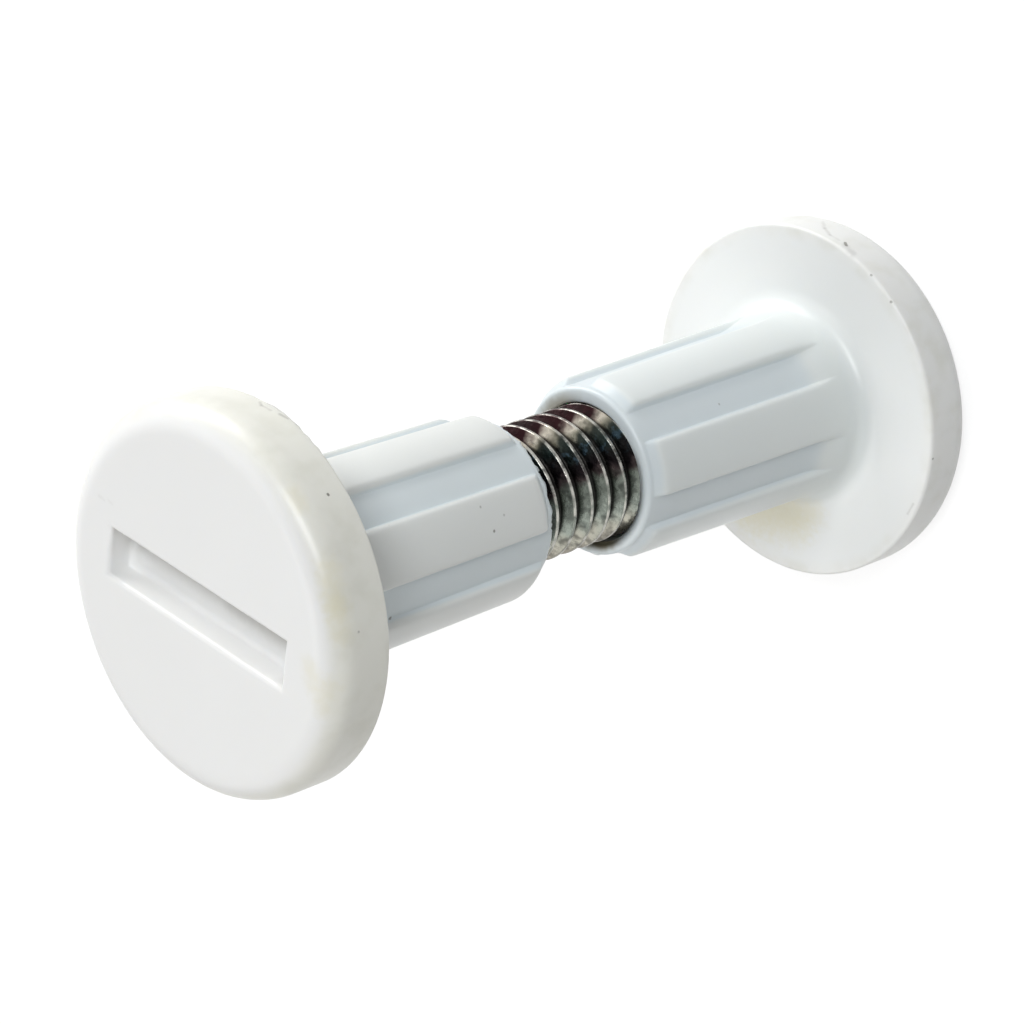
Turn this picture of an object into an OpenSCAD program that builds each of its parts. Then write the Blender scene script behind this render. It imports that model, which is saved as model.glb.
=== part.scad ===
// Binding screw for joining two panels through one hole.
// A slotted half with a moulded-in threaded stud screws into a sleeve half.
// The screw stands on the sleeve's head, with its axis along Z.

/* [Heads] */
// Diameter of both heads
head_d = 16; // [14.5:0.5:20]
// Thickness of each head
head_h = 2.8; // [2.6:0.1:4]
// Rounding of the outer face's edge
head_edge_r = 1.2; // [0.4:0.1:1.4]
// Rounding of the edge that bears on the panel
rim_edge_r = 0.15; // [0.1:0.05:0.3]

/* [Driver slots] */
// Length of the slot, which is closed at both ends
slot_l = 10.4; // [8:0.2:11]
// Width of the slot
slot_w = 2.1; // [1.4:0.1:2.6]
// Depth of the slot
slot_depth = 1.2; // [0.8:0.1:1.3]
// Solid plastic left behind the slot
slot_web = 1.2; // [0.8:0.1:1.4]

/* [Barrels] */
// Length of each barrel from the underside of its head
barrel_l = 13; // [12:0.5:20]
// Diameter over the ribs at the head
barrel_root_d = 8.4; // [8.2:0.1:8.8]
// Diameter over the ribs at the free end
barrel_end_d = 8; // [7.8:0.1:8.2]
// Number of ribs, and of the grooves between them
rib_count = 6; // [4:1:8]
// Width of a groove at the ribs' surface
groove_w = 1.8; // [1.6:0.1:2.2]
// Width of a groove's floor
groove_floor_w = 1.4; // [1:0.1:1.5]
// Depth of a groove
groove_depth = 0.35; // [0.2:0.05:0.4]
// Rounding where the ribs run into the head
root_fillet_r = 0.6; // [0.2:0.1:0.8]
// Rounding where a groove's floor runs into the head
groove_fillet_r = 0.9; // [0.3:0.1:1]
// Rounding of the slotted half's rib ends
rib_end_r = 0.8; // [0.5:0.1:1]
// Rounding of the slotted half's barrel end
barrel_end_r = 0.3; // [0.1:0.05:0.35]
// Rounding of the sleeve's end
collar_edge_r = 0.12; // [0.05:0.01:0.15]
// Bare collar at a barrel's end, in front of its ribs
collar_l = 0.25; // [0.2:0.05:0.6]
// Length of the bevel where the sleeve's ribs begin
rib_bevel_l = 0.5; // [0.2:0.1:1]

// Turn of the slotted half's ribs against its slot, seen from its head
rib_turn = -2; // [-30:1:30]

/* [Stud] */
// Diameter over the thread's crests
thread_d = 5.9; // [5.8:0.02:6]
// Pitch of the right-hand thread
pitch = 1; // [0.75:0.25:1]
// Turn of the thread's start about the axis
thread_turn = -38; // [-180:1:180]
// Length of the stud, about half of it inside the slotted half
stud_l = 26; // [22:0.5:26.5]
// Thread left showing between the two barrels
exposed_l = 5.5; // [0.5:0.5:9]

/* [Fits] */
// Clearance round the stud in the slotted half
socket_clearance = 0.05; // [0.02:0.01:0.1]
// Clearance round the thread's crests in the sleeve
bore_clearance = 0.15; // [0.1:0.01:0.25]
// Countersink at the mouth of the sleeve's bore
mouth_chamfer = 0.15; // [0.05:0.05:0.2]
// Turn of the sleeve's slot and ribs against the slotted half's
sleeve_turn = -6; // [-30:1:30]

/* [Hidden] */
$fn = 96;
plastic_white = [0.94, 0.94, 0.92];
zinc_grey = [0.55, 0.56, 0.53];

half_l = head_h + barrel_l;
total_h = 2 * half_l + exposed_l;
socket_floor = slot_depth + slot_web;
stud_tip_z = total_h - socket_floor - socket_clearance - stud_l;
thread_r = thread_d / 2;

// Thread profile over one pitch: root flat, rising flank, crest flat, falling flank
crest_flat = 1 / 8;
root_flat = 1 / 4;
flank = (1 - crest_flat - root_flat) / 2;
thread_depth = 0.5413 * pitch;
profile_at = [0, root_flat, root_flat + flank, root_flat + flank + crest_flat];
profile_rise = [0, 0, thread_depth, thread_depth];
profile_steps = len(profile_at);
thread_sides = 30;

// Radius over the ribs at a height above the outer face of the head
function rib_r(z) = (barrel_root_d + (barrel_end_d - barrel_root_d) * (z - head_h) / barrel_l) / 2;

// Square corner of a section rounded by r: the corner lies at [x, z], the section inside and below it
module rounded_corner(x, z, r) {
    square([x - r, z]);
    square([x, z - r]);
    translate([x - r, z - r]) circle(r);
}

// Section of a head, its outer face on the axis line's start
module head_section() {
    intersection() {
        rounded_corner(head_d / 2, head_h, rim_edge_r);
        translate([0, head_h]) mirror([0, 1]) rounded_corner(head_d / 2, head_h, head_edge_r);
    }
}

// Section of a drafted barrel inset from the ribs' surface, ending square at a height
module drafted_section(inset, end_z) {
    polygon([[0, 0], [rib_r(head_h) - inset, 0], [rib_r(head_h) - inset, head_h],
             [rib_r(end_z) - inset, end_z], [0, end_z]]);
}

// Section of the rounding by r where a barrel inset from the ribs' surface runs into the head
module root_fillet_section(inset, r) {
    translate([rib_r(head_h) - inset, head_h]) difference() {
        translate([-r, -r]) square(2 * r);
        translate([r, r]) circle(r);
    }
}

// Section of a drafted barrel whose end is rounded by r
module round_ended_section(inset, end_z, r) {
    round_z = end_z - r;
    round_x = rib_r(round_z) - inset;
    drafted_section(inset, round_z);
    square([round_x - r, end_z]);
    translate([round_x - r, round_z]) circle(r);
}

// Section over the sleeve's ribs, bevelled down to the collar
module bevel_ended_section() {
    bevel_z = half_l - collar_l - rib_bevel_l;
    polygon([[0, head_h], [rib_r(head_h), head_h], [rib_r(bevel_z), bevel_z],
             [rib_r(half_l) - groove_depth, half_l - collar_l], [0, half_l - collar_l]]);
}

// Cross-section of a groove, with walls that spread from its floor outwards
module groove_section() {
    floor_x = barrel_end_d / 2 - groove_depth;
    spread = (groove_w - groove_floor_w) / 2 / groove_depth;
    outer_w = groove_floor_w + 2 * spread * (head_d / 2 - floor_x);
    polygon([[0, -groove_floor_w / 2], [floor_x, -groove_floor_w / 2], [head_d / 2, -outer_w / 2],
             [head_d / 2, outer_w / 2], [floor_x, groove_floor_w / 2], [0, groove_floor_w / 2]]);
}

// Ribs left standing between straight grooves cut along the barrel
module ribs() {
    difference() {
        rotate_extrude() {
            children();
            root_fillet_section(0, root_fillet_r);
        }
        for (i = [0 : rib_count - 1]) {
            rotate(i * 360 / rib_count) translate([0, 0, head_h]) linear_extrude(half_l) groove_section();
        }
    }
}

// Driver slot sunk into the outer face of a head
module driver_slot() {
    translate([-slot_l / 2, -slot_w / 2, -1]) cube([slot_l, slot_w, slot_depth + 1]);
}

module slotted_half() {
    color(plastic_white)
        translate([0, 0, total_h]) rotate([180, 0, 0]) difference() {
            union() {
                rotate_extrude() {
                    head_section();
                    root_fillet_section(groove_depth, groove_fillet_r);
                    round_ended_section(groove_depth, half_l, barrel_end_r);
                }
                rotate(-rib_turn) ribs() round_ended_section(0, half_l - collar_l, rib_end_r);
            }
            driver_slot();
            translate([0, 0, socket_floor]) cylinder(r = thread_r + socket_clearance, h = half_l);
        }
}

module sleeve_half() {
    bore_r = thread_r + bore_clearance;
    color(plastic_white)
        rotate(sleeve_turn) difference() {
            union() {
                rotate_extrude() {
                    head_section();
                    root_fillet_section(groove_depth, groove_fillet_r);
                    round_ended_section(groove_depth, half_l, collar_edge_r);
                }
                ribs() bevel_ended_section();
            }
            driver_slot();
            translate([0, 0, socket_floor]) cylinder(r = bore_r, h = half_l);
            translate([0, 0, half_l - mouth_chamfer])
                cylinder(r1 = bore_r, r2 = bore_r + 2 * mouth_chamfer, h = 2 * mouth_chamfer);
        }
}

// Stud with a rolled thread: a grid of points that climbs one pitch each time round
module threaded_stud() {
    n = thread_sides;
    root_r = thread_r - thread_depth;
    turns = ceil(stud_l / pitch) + 1;
    last_row = profile_steps * (turns + 1) - 1;
    // Height of a row before it is held between the two ends
    function row_z(i, k) = pitch * (floor(k / profile_steps) - 1 + profile_at[k % profile_steps] + i / n);
    function held_z(i, k) = min(max(row_z(i, k), 0), stud_l);
    // Crests run out on a 45 degree bevel at both ends
    function row_r(i, k) =
        let (z = held_z(i, k))
        root_r + min(profile_rise[k % profile_steps], z, stud_l - z);
    // Rows beyond an end share the one point on that end's edge
    first = [for (i = [0 : n - 1]) max([for (k = [0 : last_row]) if (row_z(i, k) <= 0) k])];
    last = [for (i = [0 : n - 1]) min([for (k = [0 : last_row]) if (row_z(i, k) >= stud_l) k])];
    function point(i, k) =
        i == n ? point(0, k + profile_steps) : i * (last_row + 1) + min(max(k, first[i]), last[i]);
    points = [for (i = [0 : n - 1]) for (k = [0 : last_row])
        let (r = row_r(i, k), a = 360 * i / n)
        [r * cos(a), r * sin(a), held_z(i, k)]];
    sides = [for (i = [0 : n - 1]) for (k = [0 : last_row - 1])
        let (a = point(i, k), b = point(i + 1, k), c = point(i + 1, k + 1), d = point(i, k + 1))
        for (t = [[a, d, c], [a, c, b]])
            if (t[0] != t[1] && t[1] != t[2] && t[2] != t[0]) t];
    bottom = [for (i = [0 : n - 1]) point(i, 0)];
    top = [for (i = [0 : n - 1]) point(n - 1 - i, last_row)];
    color(zinc_grey)
        translate([0, 0, stud_tip_z]) rotate(thread_turn)
            polyhedron(points, concat(sides, [bottom, top]), convexity = 10);
}

slotted_half();
threaded_stud();
sleeve_half();
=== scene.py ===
import math

import bmesh
import bpy
from mathutils import Matrix, Vector, noise


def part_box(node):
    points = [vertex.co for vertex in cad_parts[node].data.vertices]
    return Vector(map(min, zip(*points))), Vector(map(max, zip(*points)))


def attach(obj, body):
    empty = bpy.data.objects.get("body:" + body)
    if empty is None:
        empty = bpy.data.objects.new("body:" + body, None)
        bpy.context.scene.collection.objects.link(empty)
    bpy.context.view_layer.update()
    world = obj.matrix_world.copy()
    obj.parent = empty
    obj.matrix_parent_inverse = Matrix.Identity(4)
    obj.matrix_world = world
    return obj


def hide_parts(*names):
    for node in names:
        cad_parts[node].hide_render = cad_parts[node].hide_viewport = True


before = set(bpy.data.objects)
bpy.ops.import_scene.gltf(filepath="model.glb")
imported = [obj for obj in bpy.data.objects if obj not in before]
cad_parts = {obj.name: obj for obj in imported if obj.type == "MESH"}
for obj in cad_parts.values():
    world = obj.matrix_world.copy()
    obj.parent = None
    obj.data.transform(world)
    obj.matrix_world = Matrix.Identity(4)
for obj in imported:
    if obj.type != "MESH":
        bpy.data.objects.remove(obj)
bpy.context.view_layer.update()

# Sizes in millimetres. A half is drawn with its outer face on z = 0 and its barrel upwards.
MM = 0.001
# How far the heads stay inside the CAD box
INSIDE_CAD = 0.004
slotted_low, slotted_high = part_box("slotted_half")
stud_low, stud_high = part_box("threaded_stud")
SLOTTED_TOP = slotted_high[2] / MM
HALF_L = (slotted_high[2] - slotted_low[2]) / MM
HEAD_R = (slotted_high[0] - slotted_low[0]) / MM / 2 - INSIDE_CAD
STUD_TIP, STUD_END = stud_low[2] / MM, stud_high[2] / MM
# Head: thickness, rounding of the outer face's edge and of the edge that bears on the panel
HEAD_H, HEAD_EDGE_R, RIM_EDGE_R = 2.8, 1.2, 0.15
# Barrel: radius over the ribs at the head and at the free end, and depth of the grooves
ROOT_R, END_R, GROOVE_DEPTH = 4.2, 4.0, 0.35
# Roundings where a barrel runs into its head, at the slotted half's rib ends and at its barrel's end
ROOT_FILLET_R, RIB_END_R, CORE_END_R = 0.9, 0.8, 0.3
# Length over which a groove runs out at the head
GROOVE_RUN_OUT = 2.2
# Sleeve's end: bare collar, bevel of the ribs, roundings of the collar's edge and of the bore's mouth
COLLAR_L, RIB_BEVEL_L, COLLAR_EDGE_R, MOUTH_R = 0.25, 0.5, 0.2, 0.1
# Driver slot, and the solid plastic behind it
SLOT_L, SLOT_W, SLOT_DEPTH, SLOT_WEB = 10.4, 2.1, 1.2, 1.2
FLOOR_Z = SLOT_DEPTH + SLOT_WEB
# Number of ribs, and the turns in degrees of the slotted half's ribs and of the whole sleeve
RIBS, RIB_TURN, SLEEVE_TURN = 6, -2, -6
# Thread of the stud, and the radii of the socket and the bore round it
THREAD_ROOT_R, PITCH, THREAD_PHASE = 2.41, 1.0, -0.27
SOCKET_R, BORE_R = 3.0, 3.03
# Ragged fringe round the stud: its greatest height, how far it is sunk, how far down the barrel's
# end it reaches, and the share of it that each row of the section takes
FRINGE_H, FRINGE_SINK, FRINGE_REACH = 0.19, 0.11, 0.35
FRINGE_ROWS = {4: 0.6, 5: 1.0, 6: 1.0, 7: 1.0, 8: 1.0, 9: 1.0, 10: 1.0, 11: 0.6, 12: 0.2}
# Sliver of flash on the near head: its middle and spread in degrees, and its height
RIM_FLASH_AT, RIM_FLASH_SPREAD, RIM_FLASH_H = -78, 20, 0.2
# Rows of the sleeve's section that lie in its bore, and how far they lie off the axis
BORE_ROWS, BORE_LEAN = range(2, 9), (0.07, -0.02)
# Heights of the rows along a barrel, closer together where the grooves run out
BARREL_ROWS = [13.4, 12.0, 10.5, 9.0, 7.5, 6.5, 5.8, 5.4, 5.0, 4.7, 4.4, 4.1, 3.9]

# Columns of one rib pitch, in degrees from a groove's centre, with the share of the groove's depth
GROOVE_WALL = [(10.5, 1.0), (10.8, 0.985), (11.1, 0.92), (11.5, 0.75), (12.0, 0.51), (12.5, 0.31),
               (13.1, 0.17), (13.9, 0.075), (15.0, 0.02), (16.5, 0.0)]
FLOOR_COLUMNS = [2.5, 5.0, 7.5, 9.5]
RIB_COLUMNS = [19.0, 22.0, 25.0, 27.5, 30.0]


def rib_pitch():
    """Angle and groove share of each column over one rib pitch."""
    half = [(a, 1.0) for a in FLOOR_COLUMNS] + GROOVE_WALL + [(a, 0.0) for a in RIB_COLUMNS]
    span = 360 / RIBS
    return [(0.0, 1.0)] + half + [(span - a, share) for a, share in reversed(half[:-1])]


def arc(r, z, radius, start, end, steps):
    """Points of a section's rounding about (r, z), from one angle to another in degrees."""
    angles = [math.radians(start + (end - start) * i / steps) for i in range(steps + 1)]
    return [(r + radius * math.cos(a), z + radius * math.sin(a)) for a in angles]


def rib_r(z):
    """Radius over the ribs of a drafted barrel."""
    return ROOT_R + (END_R - ROOT_R) * (z - HEAD_H) / (HALF_L - HEAD_H)


def core_r(z):
    """Radius of a groove's floor, which rises to the ribs where it runs out at the head."""
    along = (z - HEAD_H - ROOT_FILLET_R) / GROOVE_RUN_OUT
    along = min(1.0, max(0.0, along))
    return rib_r(z) - GROOVE_DEPTH * along * along * (3 - 2 * along)


def plain(points):
    """Rows of a section that the ribs and grooves share."""
    return [(p, p) for p in points]


def ribbed(points):
    """Rows whose first point lies on a rib, with the groove's floor at the same height."""
    return [((r, z), (core_r(z), z)) for r, z in points]


def head_rows():
    """From the ribs' lower ends over the head's underside and rim to its outer face."""
    fillet = arc(ROOT_R + ROOT_FILLET_R, HEAD_H + ROOT_FILLET_R, ROOT_FILLET_R, 180, 270, 6)
    rows = ribbed([(rib_r(z), z) for z in BARREL_ROWS]) + plain(fillet)
    rows += plain([(r, HEAD_H) for r in (5.3, 5.8, 6.6, 7.3, HEAD_R - RIM_EDGE_R - 0.08)])
    rows += plain(arc(HEAD_R - RIM_EDGE_R, HEAD_H - RIM_EDGE_R, RIM_EDGE_R, 90, 0, 4))
    rows += plain([(HEAD_R, z) for z in (2.55, 2.2, 1.7, HEAD_EDGE_R + 0.08)])
    rows += plain(arc(HEAD_R - HEAD_EDGE_R, HEAD_EDGE_R, HEAD_EDGE_R, 0, -90, 12))
    return rows + plain([(HEAD_R - HEAD_EDGE_R - 0.1, 0.0)])


def slotted_rows():
    """Section of the slotted half from its socket's floor outwards."""
    lip = [(SOCKET_R, FLOOR_Z), (SOCKET_R, FLOOR_Z + 0.1), (SOCKET_R, HALF_L - 0.6),
           (SOCKET_R - 0.03, HALF_L - 0.05), (SOCKET_R - 0.01, HALF_L), (SOCKET_R + 0.06, HALF_L)]
    round_z = HALF_L - COLLAR_L - RIB_END_R
    end_z = HALF_L - CORE_END_R
    rows = plain([(0.0, FLOOR_Z)] + lip + [(SOCKET_R + 0.12, HALF_L)])
    rows += plain(arc(core_r(end_z) - CORE_END_R, end_z, CORE_END_R, 90, 0, 5))
    return rows + ribbed(arc(rib_r(round_z) - RIB_END_R, round_z, RIB_END_R, 56, 0, 7)) + head_rows()


def sleeve_rows():
    """Section of the sleeve from its bore's floor outwards."""
    bore = [(BORE_R, FLOOR_Z), (BORE_R, FLOOR_Z + 0.1), (BORE_R, HALF_L - 0.7), (BORE_R, HALF_L - 0.3)]
    bore += arc(BORE_R + MOUTH_R, HALF_L - MOUTH_R, MOUTH_R, 180, 90, 4)
    end_z = HALF_L - COLLAR_EDGE_R
    bevel_z = HALF_L - COLLAR_L - RIB_BEVEL_L
    rise = rib_r(bevel_z) - core_r(HALF_L)
    bevel = [(core_r(HALF_L) + rise * s, HALF_L - COLLAR_L - RIB_BEVEL_L * s) for s in (0.12, 0.3, 0.6, 0.86)]
    rows = plain([(0.0, FLOOR_Z)] + bore)
    rows += plain(arc(core_r(end_z) - COLLAR_EDGE_R, end_z, COLLAR_EDGE_R, 90, 0, 5))
    foot_z = HALF_L - 0.23
    shoulder = [(rib_r(bevel_z) - 0.012, bevel_z - 0.03), (rib_r(bevel_z - 0.2), bevel_z - 0.2)]
    return rows + ribbed([(core_r(foot_z), foot_z)] + bevel + shoulder) + head_rows()


def moulded_half(rows, rib_turn):
    """Ribbed barrel and head: the section turned about the axis, with the grooves' columns drawn in."""
    bm = bmesh.new()
    row_of = bm.verts.layers.int.new("row")
    section = [bm.verts.new((rib[0], 0.0, rib[1])) for rib, groove in rows]
    for i, v in enumerate(section):
        v[row_of] = i
    edges = [bm.edges.new(pair) for pair in zip(section, section[1:])]
    columns = rib_pitch()
    steps = RIBS * len(columns)
    bmesh.ops.spin(bm, geom=section + edges, cent=(0, 0, 0), axis=(0, 0, 1), angle=2 * math.pi,
                   steps=steps, use_merge=True)
    for v in bm.verts:
        if math.hypot(v.co.x, v.co.y) < 1e-6:
            continue
        column = round(math.atan2(v.co.y, v.co.x) / (2 * math.pi) * steps) % steps
        angle, share = columns[column % len(columns)]
        angle = math.radians(angle + column // len(columns) * 360 / RIBS + rib_turn)
        rib, groove = rows[v[row_of]]
        r = rib[0] + (groove[0] - rib[0]) * share
        v.co = (r * math.cos(angle), r * math.sin(angle), rib[1] + (groove[1] - rib[1]) * share)
    axis_verts = [v for v in bm.verts if v[row_of] == 0]
    bmesh.ops.remove_doubles(bm, verts=axis_verts, dist=1e-4)
    return bm, row_of


def rounding_steps(radius, steps, entering):
    """Inset and depth of each step round a quarter circle, entering a wall or leaving it."""
    angles = [math.pi / 2 * i / steps for i in range(steps + 1)]
    if entering:
        path = [(radius * math.sin(a), radius * (1 - math.cos(a))) for a in angles]
    else:
        path = [(radius * (1 - math.cos(a)), radius * math.sin(a)) for a in angles]
    return [(b[0] - a[0], b[1] - a[1]) for a, b in zip(path, path[1:])]


def driver_slot(bm):
    """Closed slot sunk into the outer face, joined to the face's edge."""
    mouth_r, floor_r, margin = 0.2, 0.28, 0.18
    x, y = SLOT_L / 2 + margin, SLOT_W / 2 + margin
    corners = [bm.verts.new((sx * x, sy * y, 0.0)) for sx, sy in ((-1, -1), (-1, 1), (1, 1), (1, -1))]
    sides = [bm.edges.new((corners[i], corners[(i + 1) % 4])) for i in range(4)]
    bmesh.ops.subdivide_edges(bm, edges=sides[0::2], cuts=1)
    bmesh.ops.subdivide_edges(bm, edges=sides[1::2], cuts=7)
    outline = [e for e in bm.edges if e.is_wire]
    mouth = bmesh.ops.contextual_create(bm, geom=outline)["faces"][0]
    wall = SLOT_DEPTH - mouth_r - floor_r
    # Inset and sink of each step: the mouth's rounding, the drafted wall and the floor's rounding
    ease = 0.06
    steps = [(margin - mouth_r + 0.05, 0.0)] + rounding_steps(mouth_r, 5, True)
    steps += [(0.004, ease), (0.022, wall - 2 * ease), (0.004, ease)]
    steps += rounding_steps(floor_r, 7, False) + [(ease, 0.0)]
    for inset, depth in steps:
        bmesh.ops.inset_region(bm, faces=[mouth], thickness=inset, use_boundary=True, use_even_offset=True)
        bmesh.ops.translate(bm, verts=mouth.verts[:], vec=(0, 0, depth))
    bmesh.ops.triangle_fill(bm, use_beauty=True, edges=[e for e in bm.edges if e.is_boundary])


def moulding_flash(bm, row_of, share_of_row):
    """Ragged fringe of plastic round the end of the slotted half, where it meets the stud."""
    for v in bm.verts:
        if v[row_of] in share_of_row and v.co.z > HALF_L - FRINGE_REACH:
            around = Vector((v.co.x, v.co.y, 3.1))
            long_waves, short_waves = noise.noise(around * 2.9), noise.noise(around * 7.3)
            rag = 0.55 + 0.8 * long_waves + 0.9 * short_waves
            height = min(FRINGE_H, 0.15 * max(0.0, rag)) - FRINGE_SINK
            v.co.z += height * share_of_row[v[row_of]]


def rim_flash(bm, azimuth, spread, height):
    """Sliver of plastic left standing along part of the edge that bears on the panel."""
    for v in bm.verts:
        if v.co.z > HEAD_H - 0.06 and math.hypot(v.co.x, v.co.y) > HEAD_R - 0.12:
            off = math.degrees(math.atan2(v.co.y, v.co.x)) - azimuth
            fade = max(0.0, 1 - ((off + 180) % 360 - 180) ** 2 / spread ** 2)
            rag = 0.35 + noise.noise(Vector((v.co.x, v.co.y, 0.7)) * 2.6)
            v.co.z += height * fade * max(0.0, min(1.0, rag))


def lean_bore(bm, row_of, rows_of_bore, lean):
    """The sleeve's bore lies a little off the axis, so that the gap at its mouth is uneven."""
    for v in bm.verts:
        if v[row_of] in rows_of_bore:
            v.co.x += lean[0]
            v.co.y += lean[1]


def piece(bm, name, placement, node, body, material):
    """Puts a modelled piece in the part's frame, in place of its CAD node."""
    bmesh.ops.remove_doubles(bm, verts=bm.verts, dist=1e-5)
    bmesh.ops.transform(bm, matrix=Matrix.Scale(MM, 4) @ placement, verts=bm.verts)
    bmesh.ops.recalc_face_normals(bm, faces=bm.faces)
    for f in bm.faces:
        f.smooth = True
    mesh = bpy.data.meshes.new(name)
    bm.to_mesh(mesh)
    bm.free()
    mesh.materials.append(material)
    obj = bpy.data.objects.new(name, mesh)
    bpy.context.scene.collection.objects.link(obj)
    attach(obj, body)
    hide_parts(node)


def stud_thread():
    """Rolled thread: one pitch of the profile swept up a helix, cut off and capped at both ends."""
    half = [(0.0, 0.0), (0.09, 0.004), (0.13, 0.03), (0.165, 0.08), (0.4, 0.478), (0.425, 0.512),
            (0.455, 0.53), (0.5, 0.535)]
    profile = half + [(1 - z, rise) for z, rise in reversed(half[:-1])]
    turns = math.ceil((STUD_END - STUD_TIP) / PITCH) + 2
    per_turn = 72
    bm = bmesh.new()
    start = STUD_TIP - 1.5 * PITCH + THREAD_PHASE
    verts = [bm.verts.new((THREAD_ROOT_R + rise, 0.0, start + z * PITCH)) for z, rise in profile]
    edges = [bm.edges.new(pair) for pair in zip(verts, verts[1:])]
    bmesh.ops.spin(bm, geom=verts + edges, cent=(0, 0, 0), axis=(0, 0, 1), angle=2 * math.pi,
                   dvec=(0, 0, PITCH / per_turn), steps=per_turn)
    one_turn = bm.verts[:] + bm.edges[:] + bm.faces[:]
    for i in range(1, turns):
        copy = bmesh.ops.duplicate(bm, geom=one_turn)["geom"]
        bmesh.ops.translate(bm, verts=[v for v in copy if isinstance(v, bmesh.types.BMVert)],
                            vec=(0, 0, i * PITCH))
    bmesh.ops.remove_doubles(bm, verts=bm.verts, dist=1e-4)
    for z, direction in ((STUD_TIP + 0.02, -1), (STUD_END - 0.02, 1)):
        everything = bm.verts[:] + bm.edges[:] + bm.faces[:]
        bmesh.ops.bisect_plane(bm, geom=everything, plane_co=(0, 0, z), plane_no=(0, 0, direction),
                               clear_outer=True)
    bmesh.ops.holes_fill(bm, edges=[e for e in bm.edges if e.is_boundary])
    return bm


def tree_of(material):
    """Node tree of a material and its surface shader."""
    material.use_nodes = True
    nodes = material.node_tree.nodes
    return material.node_tree, nodes["Principled BSDF"]


def link(tree, a, b):
    """Joins an output socket to an input socket."""
    tree.links.new(a, b)


def add(tree, kind, **values):
    """A node with its properties and unlinked inputs set by name."""
    node = tree.nodes.new(kind)
    for key, value in values.items():
        if hasattr(node, key) and key not in node.inputs:
            setattr(node, key, value)
        else:
            node.inputs[key].default_value = value
    return node


def math_node(tree, operation, a, b):
    """Result of an operation on two values, each a socket or a number."""
    node = tree.nodes.new("ShaderNodeMath")
    node.operation = operation
    for socket, value in zip(node.inputs, (a, b)):
        if hasattr(value, "is_output"):
            link(tree, value, socket)
        else:
            socket.default_value = value
    return node.outputs[0]


def mix_colour(tree, share, a, b):
    """First colour going over into the second by a share, each a socket or a colour."""
    node = tree.nodes.new("ShaderNodeMix")
    node.data_type = "RGBA"
    link(tree, share, node.inputs["Factor"])
    for name, value in (("A", a), ("B", b)):
        socket = [s for s in node.inputs if s.name == name and s.type == "RGBA"][0]
        if hasattr(value, "is_output"):
            link(tree, value, socket)
        else:
            socket.default_value = (*value, 1)
    return [s for s in node.outputs if s.type == "RGBA"][0]


def map_range(tree, value, low, high, to_low=0.0, to_high=1.0, smooth=True):
    """Value taken from one range to another, and held at its ends."""
    node = add(tree, "ShaderNodeMapRange", interpolation_type="SMOOTHSTEP" if smooth else "LINEAR")
    for name, v in (("From Min", low), ("From Max", high), ("To Min", to_low), ("To Max", to_high)):
        node.inputs[name].default_value = v
    link(tree, value, node.inputs["Value"])
    return node.outputs["Result"]


def noise_of(tree, place, scale, detail):
    """Noise over a piece, with its scale per metre."""
    node = add(tree, "ShaderNodeTexNoise", Scale=scale, Detail=detail)
    link(tree, place, node.inputs["Vector"])
    return node.outputs[0]


def axis_distance(tree, place):
    """Distance of a place from the screw's axis."""
    flat = add(tree, "ShaderNodeVectorMath", operation="MULTIPLY")
    flat.inputs[1].default_value = (1, 1, 0)
    link(tree, place, flat.inputs[0])
    radius = add(tree, "ShaderNodeVectorMath", operation="LENGTH")
    link(tree, flat.outputs["Vector"], radius.inputs[0])
    return radius.outputs["Value"]


def new_group(name, inputs, outputs):
    """A node group with its sockets; a shared effect that a material reads."""
    group = bpy.data.node_groups.new(name, "ShaderNodeTree")
    for label, kind in inputs:
        group.interface.new_socket(label, in_out="INPUT", socket_type=kind)
    for label, kind in outputs:
        group.interface.new_socket(label, in_out="OUTPUT", socket_type=kind)
    return group, group.nodes.new("NodeGroupInput"), group.nodes.new("NodeGroupOutput")


# Noises of the masks and the plastic: scale per metre, and detail
RIPPLE_NOISE, SPREAD_NOISE = (3200.0, 2.0), (1300.0, 2.0)
MOTTLE_NOISE, GRUBBY_NOISE, GLOSS_NOISE = (150.0, 1.5), (750.0, 3.0), (380.0, 2.0)
SWELL_NOISE, GRAIN_NOISE = (260.0, 1.0), (4200.0, 2.0)
# Where the masks of a half fade, in metres: from the screw's middle along it, and from its axis
BARREL_ENDS = 0.0159, 0.0155
BARREL_FADE, GROOVE_FADE, RIM_FADE = (0.0060, 0.0041), (0.0040, 0.0038), (0.0072, 0.0079)
# Olive darkening of the sleeve's end round the bore: where it fades from the bore and along the barrel, and
# round it in radians
BORE_DARKENING_FADE, END_DARKENING_FADE, DARKENING_TURN_FADE = (0.00362, 0.00308), (0.0154, 0.01565), (-0.25, 0.35)


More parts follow.
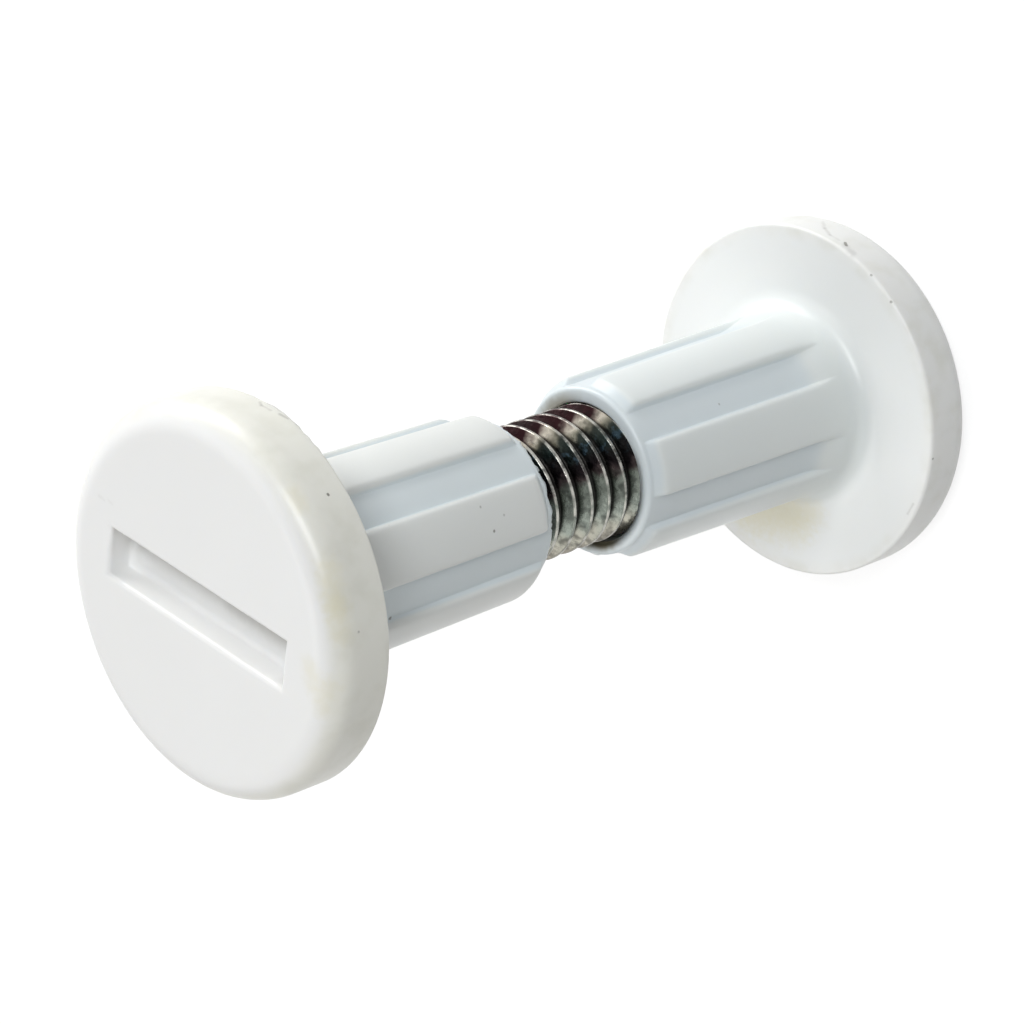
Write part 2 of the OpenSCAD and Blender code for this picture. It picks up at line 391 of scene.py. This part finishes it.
def line_mark_group():
    """Mask of a short mark along a line on the surface, from its ends, width, waver and full core."""
    ends = [(name, "NodeSocketVector") for name in ("From", "To")]
    form = [(name, "NodeSocketFloat") for name in ("Width", "Waver", "Core")]
    group, given, out = new_group("line_mark", ends + form, [("Mask", "NodeSocketFloat")])
    place = group.nodes.new("ShaderNodeTexCoord").outputs["Object"]
    ripple = math_node(group, "SUBTRACT", noise_of(group, place, *RIPPLE_NOISE), 0.5)

    def vector(operation, a, b):
        node = group.nodes.new("ShaderNodeVectorMath")
        node.operation = operation
        link(group, a, node.inputs[0])
        link(group, b, node.inputs[1])
        return node
    along = vector("SUBTRACT", given.outputs["To"], given.outputs["From"]).outputs["Vector"]
    offset = vector("SUBTRACT", place, given.outputs["From"]).outputs["Vector"]
    reach = vector("DOT_PRODUCT", offset, along).outputs["Value"]
    whole = vector("DOT_PRODUCT", along, along).outputs["Value"]
    share = add(group, "ShaderNodeClamp")
    link(group, math_node(group, "DIVIDE", reach, whole), share.inputs["Value"])
    step = group.nodes.new("ShaderNodeVectorMath")
    step.operation = "SCALE"
    link(group, along, step.inputs[0])
    link(group, share.outputs[0], step.inputs["Scale"])
    gap = vector("DISTANCE", offset, step.outputs["Vector"]).outputs["Value"]
    sway = math_node(group, "MULTIPLY", ripple, given.outputs["Waver"])
    scaled = math_node(group, "DIVIDE", math_node(group, "ADD", gap, sway), given.outputs["Width"])
    fade = add(group, "ShaderNodeMapRange", interpolation_type="SMOOTHSTEP")
    fade.inputs["From Min"].default_value = 1.0
    link(group, given.outputs["Core"], fade.inputs["From Max"])
    link(group, scaled, fade.inputs["Value"])
    link(group, fade.outputs["Result"], out.inputs["Mask"])
    return group


def barrel_group():
    """Masks of a barrel, of its grooves and of the head's rim, by distance from the axis."""
    masks = [(name, "NodeSocketFloat") for name in ("Barrel", "Groove", "Rim")]
    group, given, out = new_group("barrel_masks", [], masks)
    place = group.nodes.new("ShaderNodeTexCoord").outputs["Object"]
    radius = axis_distance(group, place)
    split = group.nodes.new("ShaderNodeSeparateXYZ")
    link(group, place, split.inputs[0])
    above_middle = math_node(group, "SUBTRACT", split.outputs["Z"], SLOTTED_TOP * MM / 2)
    between = map_range(group, math_node(group, "ABSOLUTE", above_middle, 0), *BARREL_ENDS)
    for name, fade in (("Barrel", BARREL_FADE), ("Groove", GROOVE_FADE)):
        near = map_range(group, radius, *fade)
        link(group, math_node(group, "MULTIPLY", near, between), out.inputs[name])
    link(group, map_range(group, radius, *RIM_FADE), out.inputs["Rim"])
    return group


def mouth_group():
    """Mask of olive darkening on the sleeve's end, between two azimuths, fading away from the bore."""
    azimuths = [(name, "NodeSocketFloat") for name in ("Start", "End")]
    group, given, out = new_group("mouth_darkening", azimuths, [("Mask", "NodeSocketFloat")])
    place = group.nodes.new("ShaderNodeTexCoord").outputs["Object"]
    split = group.nodes.new("ShaderNodeSeparateXYZ")
    link(group, place, split.inputs[0])
    x, y, z = (split.outputs[axis] for axis in "XYZ")
    waver = math_node(group, "SUBTRACT", noise_of(group, place, *SPREAD_NOISE), 0.5)
    wander = math_node(group, "MULTIPLY", waver, 0.5)
    turn = math_node(group, "ADD", math_node(group, "ARCTAN2", y, x), wander)
    since_start = math_node(group, "SUBTRACT", turn, given.outputs["Start"])
    until_end = math_node(group, "SUBTRACT", given.outputs["End"], turn)
    past_start = map_range(group, since_start, *DARKENING_TURN_FADE)
    before_end = map_range(group, until_end, *DARKENING_TURN_FADE)
    sway = math_node(group, "MULTIPLY", waver, 0.0005)
    radius = math_node(group, "ADD", axis_distance(group, place), sway)
    near_bore = map_range(group, radius, *BORE_DARKENING_FADE)
    at_end = map_range(group, z, *END_DARKENING_FADE)
    mask = math_node(group, "MULTIPLY", past_start, before_end)
    mask = math_node(group, "MULTIPLY", mask, math_node(group, "MULTIPLY", near_bore, at_end))
    link(group, mask, out.inputs["Mask"])
    return group


LINE_MARK, BARREL, MOUTH_DARKENING = line_mark_group(), barrel_group(), mouth_group()

# Whites of each half: its head's faces, rim, ribs and grooves. One plastic throughout: the barrel's darker
# whites, darkest and bluest in the grooves, are painted shade, and the rims' yellower whites are painted warm
# light
SLOTTED_WHITES = (0.90, 0.90, 0.895), (0.86, 0.855, 0.79), (0.78, 0.80, 0.785), (0.71, 0.775, 0.80)
SLEEVE_WHITES = (0.89, 0.905, 0.90), (0.89, 0.895, 0.88), (0.79, 0.83, 0.825), (0.72, 0.785, 0.815)
MOTTLE_GREY, RIM_GREY = (0.74, 0.735, 0.69), (0.66, 0.655, 0.56)
# Brown for dirt marks and painted shade, beige for yellowed patches and a painted shadow, olive for the
# darkening round the bore
DIRT_AND_SHADE_BROWN, STAIN_AND_SHADOW_BEIGE, DARKENING_OLIVE = (0.10, 0.085, 0.065), (0.80, 0.765, 0.60), (0.22, 0.185, 0.10)
# Grey of the painted shade on the slot's floor
SHADE_GREY = (0.42, 0.41, 0.385)
# Share of a mark's width at which it is full: a crisp mark and one that fades from its middle
SHARP, SOFT = 0.45, 0.0
# How far a mark's edge wavers, as a share of its width
STAIN_AND_SHADOW_WAVER, SHADE_WAVER, DIRT_AND_SHADE_WAVER = 0.6, 0.12, 1.1
# Least and greatest roughness, both above 0.274, where the denoiser's treatment of a surface changes
PLASTIC_ROUGHNESS = 0.285, 0.35


def white_plastic(name, whites, dirt_and_shade_marks, stains_and_painted_shadows, mouth_darkenings, shades):
    """Satin moulded plastic with a faint mottle, grubby marks and specks, yellowed patches, olive darkening
    round the bore, and painted shade and shadow in its marks and zone whites.
    """
    material = bpy.data.materials.new(name)
    tree, shader = tree_of(material)
    place = tree.nodes.new("ShaderNodeTexCoord").outputs["Object"]
    barrel = add(tree, "ShaderNodeGroup", node_tree=BARREL)
    face_white, rim_white, rib_white, groove_white = whites
    # Zone whites: painted shade on the barrel and in its grooves, painted warm light on the rim
    colour = mix_colour(tree, barrel.outputs["Barrel"], face_white, rib_white)
    colour = mix_colour(tree, barrel.outputs["Groove"], colour, groove_white)
    colour = mix_colour(tree, barrel.outputs["Rim"], colour, rim_white)
    mottle = map_range(tree, noise_of(tree, place, *MOTTLE_NOISE), 0.3, 0.8, 0.0, 0.06)
    colour = mix_colour(tree, mottle, colour, MOTTLE_GREY)
    grubby = map_range(tree, noise_of(tree, place, *GRUBBY_NOISE), 0.42, 0.75, 0.0, 0.3)
    grubby = math_node(tree, "MULTIPLY", grubby, barrel.outputs["Rim"])
    colour = mix_colour(tree, grubby, colour, RIM_GREY)

    def marked(ends, width, strength, core, waver):
        place_of_mark = add(tree, "ShaderNodeGroup", node_tree=LINE_MARK)
        for socket, value in zip(place_of_mark.inputs, (*ends, width, width * waver, core)):
            socket.default_value = value
        return math_node(tree, "MULTIPLY", place_of_mark.outputs[0], strength)
    # Yellowed patches, and on the sleeve a painted shadow of the barrel
    for soft_mark in stains_and_painted_shadows:
        colour = mix_colour(tree, marked(*soft_mark, STAIN_AND_SHADOW_WAVER), colour, STAIN_AND_SHADOW_BEIGE)
    # Painted shade on the slot's floor
    for shade in shades:
        colour = mix_colour(tree, marked(*shade, SHADE_WAVER), colour, SHADE_GREY)
    # Olive darkening round the bore's mouth
    for start, end, strength in mouth_darkenings:
        azimuths = {"Start": math.radians(start), "End": math.radians(end)}
        darkening = add(tree, "ShaderNodeGroup", node_tree=MOUTH_DARKENING, **azimuths)
        share = math_node(tree, "MULTIPLY", darkening.outputs[0], strength)
        colour = mix_colour(tree, share, colour, DARKENING_OLIVE)
    dirt_and_shade = None
    # Dirt marks, and on the sleeve's rim the painted shade of a flash flaw
    for dirt_and_shade_mark in dirt_and_shade_marks:
        share = marked(*dirt_and_shade_mark, DIRT_AND_SHADE_WAVER)
        colour = mix_colour(tree, share, colour, DIRT_AND_SHADE_BROWN)
        dirt_and_shade = share if dirt_and_shade is None else math_node(tree, "MAXIMUM", dirt_and_shade, share)
    link(tree, colour, shader.inputs["Base Color"])
    gloss = map_range(tree, noise_of(tree, place, *GLOSS_NOISE), 0.3, 0.75, *PLASTIC_ROUGHNESS)
    link(tree, gloss, shader.inputs["Roughness"])
    swell = math_node(tree, "MULTIPLY", noise_of(tree, place, *SWELL_NOISE), 0.5)
    grain = math_node(tree, "MULTIPLY", noise_of(tree, place, *GRAIN_NOISE), 0.025)
    height = math_node(tree, "ADD", swell, grain)
    if dirt_and_shade is not None:
        height = math_node(tree, "SUBTRACT", height, math_node(tree, "MULTIPLY", dirt_and_shade, 0.5))
    bump = add(tree, "ShaderNodeBump", Strength=0.5, Distance=0.00006)
    link(tree, height, bump.inputs["Height"])
    link(tree, bump.outputs["Normal"], shader.inputs["Normal"])
    shader.inputs["Specular IOR Level"].default_value = 0.45
    shader.inputs["Subsurface Weight"].default_value = 0.12
    shader.inputs["Subsurface Radius"].default_value = (1.0, 0.9, 0.75)
    shader.inputs["Subsurface Scale"].default_value = 0.0006
    return material


# Colours of a painted reflection round the stud, by azimuth in degrees, standing in for what its oiled metal
# reflects
PAINTED_REFLECTION_ROUND_STUD = [(-180, (0.14, 0.15, 0.13)), (-60, (0.27, 0.25, 0.21)), (-25, (0.20, 0.20, 0.17)),
                   (-8, (0.16, 0.18, 0.16)), (24, (0.16, 0.18, 0.155)), (31, (0.06, 0.045, 0.045)),
                   (37, (0.007, 0.005, 0.006)), (50, (0.006, 0.006, 0.006)), (58, (0.010, 0.016, 0.015)),
                   (70, (0.03, 0.036, 0.031)), (77, (0.22, 0.21, 0.165)), (83, (0.55, 0.51, 0.43)),
                   (88, (0.20, 0.16, 0.14)), (93, (0.028, 0.010, 0.012)), (125, (0.016, 0.006, 0.007)),
                   (180, (0.14, 0.15, 0.13))]
# Where the thread's roots are grimy and darkened with painted shade, and where its crests are bared bright
# with a painted highlight, in metres from the axis
GRIME_AND_SHADE_FADE, WORN_AND_HIGHLIGHT_FADE = (0.00259, 0.00247), (0.00289, 0.00294)
# Where the blue spots fade in and out round the stud, in radians
BLUE_SPOTS_FROM, BLUE_SPOTS_TO = (0.75, 0.95), (1.25, 1.1)
OIL_AND_SHADE_BLACK, SPOT_BLUE, BARE_ZINC_AND_HIGHLIGHT = (0.006, 0.0055, 0.005), (0.03, 0.05, 0.065), (0.50, 0.49, 0.45)


def zinc_thread(name):
    """Zinc-plated steel under a patchy, oily brown-black coat, with a painted reflection by azimuth, grimy
    roots with painted shade, and crests bared bright with a painted highlight.
    """
    material = bpy.data.materials.new(name)
    tree, shader = tree_of(material)
    place = tree.nodes.new("ShaderNodeTexCoord").outputs["Object"]
    split = tree.nodes.new("ShaderNodeSeparateXYZ")
    link(tree, place, split.inputs[0])

    def noise_at(scale, detail):
        return noise_of(tree, place, scale, detail)
    wander = math_node(tree, "MULTIPLY", math_node(tree, "SUBTRACT", noise_at(1100.0, 3.0), 0.5), 0.55)
    azimuth = math_node(tree, "ARCTAN2", split.outputs["Y"], split.outputs["X"])
    turn = math_node(tree, "ADD", azimuth, wander)
    # Painted reflection: the stud's colour set by azimuth
    ramp = tree.nodes.new("ShaderNodeValToRGB")
    link(tree, map_range(tree, turn, -math.pi, math.pi, smooth=False), ramp.inputs[0])
    painted_reflection = ramp.color_ramp.elements
    painted_reflection[0].position, painted_reflection[0].color = 0.0, (*PAINTED_REFLECTION_ROUND_STUD[0][1], 1)
    painted_reflection[1].position, painted_reflection[1].color = 1.0, (*PAINTED_REFLECTION_ROUND_STUD[-1][1], 1)
    for degrees, colour in PAINTED_REFLECTION_ROUND_STUD[1:-1]:
        painted_reflection.new((degrees + 180) / 360).color = (*colour, 1)
    blotches = map_range(tree, noise_at(2300.0, 4.0), 0.42, 0.72, 0.0, 0.6)
    colour = mix_colour(tree, blotches, ramp.outputs[0], OIL_AND_SHADE_BLACK)
    spots = map_range(tree, noise_at(2900.0, 2.0), 0.54, 0.64, 0.0, 0.8)
    blue_spots = math_node(tree, "MULTIPLY", map_range(tree, turn, *BLUE_SPOTS_FROM), map_range(tree, turn, *BLUE_SPOTS_TO))
    blue_spots = math_node(tree, "MULTIPLY", blue_spots, spots)
    colour = mix_colour(tree, blue_spots, colour, SPOT_BLUE)
    radius = axis_distance(tree, place)
    # Grime and painted shade darken the thread's roots
    grime_and_shade = map_range(tree, radius, *GRIME_AND_SHADE_FADE, 0.0, 0.93)
    colour = mix_colour(tree, grime_and_shade, colour, OIL_AND_SHADE_BLACK)
    # Crests bared bright: part wear, part painted highlight
    crest_patches = map_range(tree, noise_at(1900.0, 3.0), 0.38, 0.62, 0.1, 0.85)
    worn_and_highlight = math_node(tree, "MULTIPLY", map_range(tree, radius, *WORN_AND_HIGHLIGHT_FADE), crest_patches)
    colour = mix_colour(tree, worn_and_highlight, colour, BARE_ZINC_AND_HIGHLIGHT)
    link(tree, colour, shader.inputs["Base Color"])
    shader.inputs["Metallic"].default_value = 0.96
    link(tree, map_range(tree, noise_at(2300.0, 3.0), 0.3, 0.7, 0.2, 0.34), shader.inputs["Roughness"])
    bump = add(tree, "ShaderNodeBump", Strength=0.6, Distance=0.00005)
    link(tree, noise_at(2600.0, 4.0), bump.inputs["Height"])
    link(tree, bump.outputs["Normal"], shader.inputs["Normal"])
    return material


def metres(*point):
    """A point given in millimetres."""
    return tuple(c * MM for c in point)


def mark(start, end, width, strength, core=SHARP):
    """A mark along a line on the surface, in millimetres, with its width, darkness and sharpness."""
    return (metres(*start), metres(*end)), width * MM, strength, core


def soft_mark(start, end, width, strength):
    """A mark that fades from its middle."""
    return mark(start, end, width, strength, SOFT)


def speck(x, y, z, size, strength):
    """A crisp dot."""
    return mark((x, y, z), (x + 0.03, y, z), size, strength)


# Marks on the plastic, in millimetres in the part's frame
SLOTTED_DIRT = [
    speck(4.68, 6.48, 35.22, 0.075, 0.75), speck(7.67, 2.28, 35.82, 0.08, 0.4),
    speck(3.74, 1.56, 25.02, 0.08, 0.7), speck(3.52, 1.98, 24.33, 0.06, 0.3),
    speck(2.91, 2.93, 30.07, 0.08, 0.8), speck(3.69, -0.81, 30.22, 0.1, 0.6),
    speck(3.19, 2.50, 25.4, 0.06, 0.35),
    soft_mark((-5.99, 2.04, 37.1), (-5.65, 2.0, 37.1), 0.12, 0.06),
    soft_mark((-5.4, 2.1, 37.1), (-5.15, 2.06, 37.1), 0.12, 0.06),
    soft_mark((-0.15, 8.0, 34.56), (0.1, 8.0, 34.7), 0.12, 0.25),
    soft_mark((0.1, 8.0, 34.68), (0.55, 7.98, 34.64), 0.11, 0.2),
    soft_mark((0.93, 7.95, 34.5), (1.25, 7.90, 34.4), 0.13, 0.3)]
SLOTTED_STAINS = [
    soft_mark((6.2, 4.4, 36.35), (6.9, 3.2, 36.4), 0.75, 0.75),
    soft_mark((6.9, 3.2, 36.4), (7.25, 2.2, 36.4), 0.7, 0.65),
    soft_mark((6.65, 0.6, 37.1), (6.9, 0.0, 37.05), 0.8, 0.4),
    soft_mark((7.3, -0.8, 36.9), (7.45, 0.2, 36.8), 0.7, 0.45),
    soft_mark((4.18, 6.64, 36.47), (4.6, 6.3, 36.5), 0.55, 0.4),
    soft_mark((-2.6, 0.5, 35.9), (-1.6, 0.5, 35.9), 0.6, 0.4)]
# Painted shade along one side of the slot's floor, smooth and darker towards +X
SLOT_SHADES = [
    soft_mark((-4.6, 0.3, 35.9), (5.2, 0.3, 35.9), 1.05, 0.55),
    soft_mark((1.0, 0.35, 35.9), (5.2, 0.35, 35.9), 1.0, 0.45)]
SLEEVE_DIRT_AND_SHADE = [
    speck(3.05, 7.34, 2.76, 0.08, 0.5), speck(4.36, 6.61, 2.78, 0.08, 0.55),
    speck(7.97, 0.63, 2.66, 0.08, 0.5), speck(2.36, 2.89, 10.7, 0.06, 0.35),
    soft_mark((7.49, -1.75, 2.8), (7.3, -2.3, 2.8), 0.1, 0.18),
    # A torn flash flaw on the sleeve head's rim: faint lines, a dark spot and a smear, partly the flaw and
    # partly its painted shade
    soft_mark((-1.07, 7.93, 1.37), (-0.46, 7.99, 1.98), 0.14, 0.16),
    soft_mark((-0.46, 7.99, 1.98), (0.18, 8.0, 2.34), 0.14, 0.2),
    soft_mark((0.18, 8.0, 2.34), (0.71, 7.97, 2.36), 0.14, 0.14),
    mark((1.0, 7.94, 2.24), (1.2, 7.91, 2.4), 0.09, 0.7),
    soft_mark((1.25, 7.89, 2.45), (1.8, 7.80, 2.62), 0.3, 0.2)]
# Painted shadow of the barrel on the sleeve head's underside, soft and warm
SLEEVE_PAINTED_SHADOW = [
    soft_mark((-1.2, -6.2, 2.8), (1.2, -5.4, 2.8), 1.8, 0.8),
    soft_mark((0.0, -5.0, 2.8), (2.2, -4.6, 2.8), 1.3, 0.5)]
# Olive darkening of the sleeve's end round the bore: from one azimuth to another in degrees, and its darkness
SLEEVE_MOUTH_DARKENING = [(-105, -40, 0.9), (112, 160, 0.75)]

slotted_bm, slotted_row = moulded_half(slotted_rows(), -RIB_TURN)
driver_slot(slotted_bm)
moulding_flash(slotted_bm, slotted_row, FRINGE_ROWS)
rim_flash(slotted_bm, RIM_FLASH_AT, RIM_FLASH_SPREAD, RIM_FLASH_H)
turned_over = Matrix.Translation((0, 0, SLOTTED_TOP)) @ Matrix.Rotation(math.pi, 4, "X")
piece(slotted_bm, "slotted_half_moulding", turned_over, "slotted_half", "slotted",
      white_plastic("slotted_half_plastic", SLOTTED_WHITES, SLOTTED_DIRT, SLOTTED_STAINS, [], SLOT_SHADES))

sleeve_bm, sleeve_row = moulded_half(sleeve_rows(), 0)
driver_slot(sleeve_bm)
lean_bore(sleeve_bm, sleeve_row, BORE_ROWS, BORE_LEAN)
sleeve_turned = Matrix.Rotation(math.radians(SLEEVE_TURN), 4, "Z")
piece(sleeve_bm, "sleeve_half_moulding", sleeve_turned, "sleeve_half", "sleeve",
      white_plastic("sleeve_half_plastic", SLEEVE_WHITES, SLEEVE_DIRT_AND_SHADE, SLEEVE_PAINTED_SHADOW, SLEEVE_MOUTH_DARKENING, []))

piece(stud_thread(), "stud_thread", Matrix.Identity(4), "threaded_stud", "stud",
      zinc_thread("stud_zinc"))

# Floor: its half width and how far it lies under the screw, in metres
FLOOR_REACH, FLOOR_DROP = 3.0, 0.00002
# Its whites to other rays and to the camera, and the glow that the camera sees
FLOOR_WHITE, FLOOR_SEEN_WHITE, FLOOR_GLOW = 0.55, 0.35, 0.78
WORLD_COLOUR, WORLD_STRENGTH = (0.95, 0.985, 1.0), 0.06
# Lamps: azimuth and elevation in degrees, width and height in metres, level and colour
LAMPS = {"key_lamp": (142, 11, 0.45, 0.22, 0.84, (1.0, 0.995, 0.98)),
         "window_lamp": (62, 46, 0.29, 0.14, 0.52, (0.97, 0.99, 1.0)),
         "low_fill": (-100, 45, 0.5, 0.5, 0.46, (1.0, 0.99, 0.97)),
         "side_fill": (-35, 12, 0.4, 0.4, 0.14, (1.0, 0.98, 0.93)),
         "top_fill": (-150, 75, 0.5, 0.5, 0.1, (1.0, 1.0, 1.0))}
# Distance of the lamps, in metres, from the point on the axis that they are aimed at
LAMP_DISTANCE, LAMP_AIM = 0.5, (0, 0, 0.02)
# Camera of the photograph: its place in millimetres, the directions of the picture's sides, and its lens
CAMERA_PLACE = 88.31, 67.509, 116.919
CAMERA_RIGHT, CAMERA_UP = (0.6912, 0.1179, -0.7130), (-0.4065, 0.8792, -0.2487)
CAMERA_SENSOR, CAMERA_LENS, CAMERA_NEAR = 36.0, 126.13, 0.01


def show_to_rays(tree, out, kinds, seen, other):
    """Gives the named kinds of ray one shader, and all other rays the second."""
    rays = tree.nodes.new("ShaderNodeLightPath")
    shown = rays.outputs[kinds[0]]
    for kind in kinds[1:]:
        shown = math_node(tree, "MAXIMUM", shown, rays.outputs[kind])
    choose = tree.nodes.new("ShaderNodeMixShader")
    for socket, shader in zip(choose.inputs, (shown, other, seen)):
        link(tree, shader, socket)
    link(tree, choose.outputs[0], out.inputs["Surface"])


def white_floor():
    """Floor under the screw: white to the camera, with a faint shadow, and plain white to other rays."""
    mesh = bpy.data.meshes.new("floor")
    bm = bmesh.new()
    bmesh.ops.create_grid(bm, x_segments=1, y_segments=1, size=FLOOR_REACH)
    bm.to_mesh(mesh)
    bm.free()
    floor = bpy.data.objects.new("floor", mesh)
    bpy.context.scene.collection.objects.link(floor)
    floor.location.z = -FLOOR_DROP
    material = bpy.data.materials.new("white_floor")
    material.use_nodes = True
    tree = material.node_tree
    tree.nodes.remove(tree.nodes["Principled BSDF"])
    plain_white = add(tree, "ShaderNodeBsdfDiffuse", Color=(*[FLOOR_WHITE] * 3, 1))
    seen_shade = add(tree, "ShaderNodeBsdfDiffuse", Color=(*[FLOOR_SEEN_WHITE] * 3, 1))
    seen_white = add(tree, "ShaderNodeEmission", Color=(1, 1, 1, 1), Strength=FLOOR_GLOW)
    seen = tree.nodes.new("ShaderNodeAddShader")
    link(tree, seen_shade.outputs[0], seen.inputs[0])
    link(tree, seen_white.outputs[0], seen.inputs[1])
    show_to_rays(tree, tree.nodes["Material Output"], ("Is Camera Ray", "Is Glossy Ray"),
                 seen.outputs[0], plain_white.outputs[0])
    mesh.materials.append(material)


def studio_world():
    """Even white surroundings, at full white where the camera or a reflection looks past the floor."""
    world = bpy.data.worlds.new("studio")
    bpy.context.scene.world = world
    world.use_nodes = True
    tree = world.node_tree
    ambient = tree.nodes["Background"]
    ambient.inputs["Color"].default_value = (*WORLD_COLOUR, 1)
    ambient.inputs["Strength"].default_value = WORLD_STRENGTH
    backdrop = add(tree, "ShaderNodeBackground", Color=(1, 1, 1, 1), Strength=1.0)
    show_to_rays(tree, tree.nodes["World Output"],
                 ("Is Camera Ray", "Is Glossy Ray", "Is Transmission Ray"),
                 backdrop.outputs[0], ambient.outputs[0])


def soft_lamp(name, azimuth, elevation, width, height, level, colour):
    """Area lamp aimed at the screw; level is the light it adds to a white face turned to it."""
    lamp = bpy.data.lights.new(name, "AREA")
    lamp.shape = "RECTANGLE"
    lamp.size, lamp.size_y = width, height
    lamp.color = colour
    lamp.energy = level * math.pi ** 2 * LAMP_DISTANCE ** 2
    obj = bpy.data.objects.new(name, lamp)
    az, el = math.radians(azimuth), math.radians(elevation)
    towards = Vector((math.cos(el) * math.cos(az), math.cos(el) * math.sin(az), math.sin(el)))
    obj.location = Vector(LAMP_AIM) + towards * LAMP_DISTANCE
    obj.rotation_euler = towards.to_track_quat("Z", "Y").to_euler()
    bpy.context.scene.collection.objects.link(obj)


def photo_camera():
    """The screw seen from its slotted head, with the camera rolled so that the axis lies across."""
    camera = bpy.data.cameras.new("photo_camera")
    camera.sensor_width = CAMERA_SENSOR
    camera.lens = CAMERA_LENS
    camera.clip_start = CAMERA_NEAR
    right, up = Vector(CAMERA_RIGHT), Vector(CAMERA_UP)
    back = right.cross(up).normalized()
    up = back.cross(right.normalized())
    turn = Matrix((right.normalized(), up, back)).transposed().to_4x4()
    obj = bpy.data.objects.new("photo_camera", camera)
    obj.matrix_world = Matrix.Translation(metres(*CAMERA_PLACE)) @ turn
    bpy.context.scene.collection.objects.link(obj)
    bpy.context.scene.camera = obj


white_floor()
studio_world()
for lamp_name, lamp_values in LAMPS.items():
    soft_lamp(lamp_name, *lamp_values)
photo_camera()
bpy.context.scene.view_settings.view_transform = "Standard"
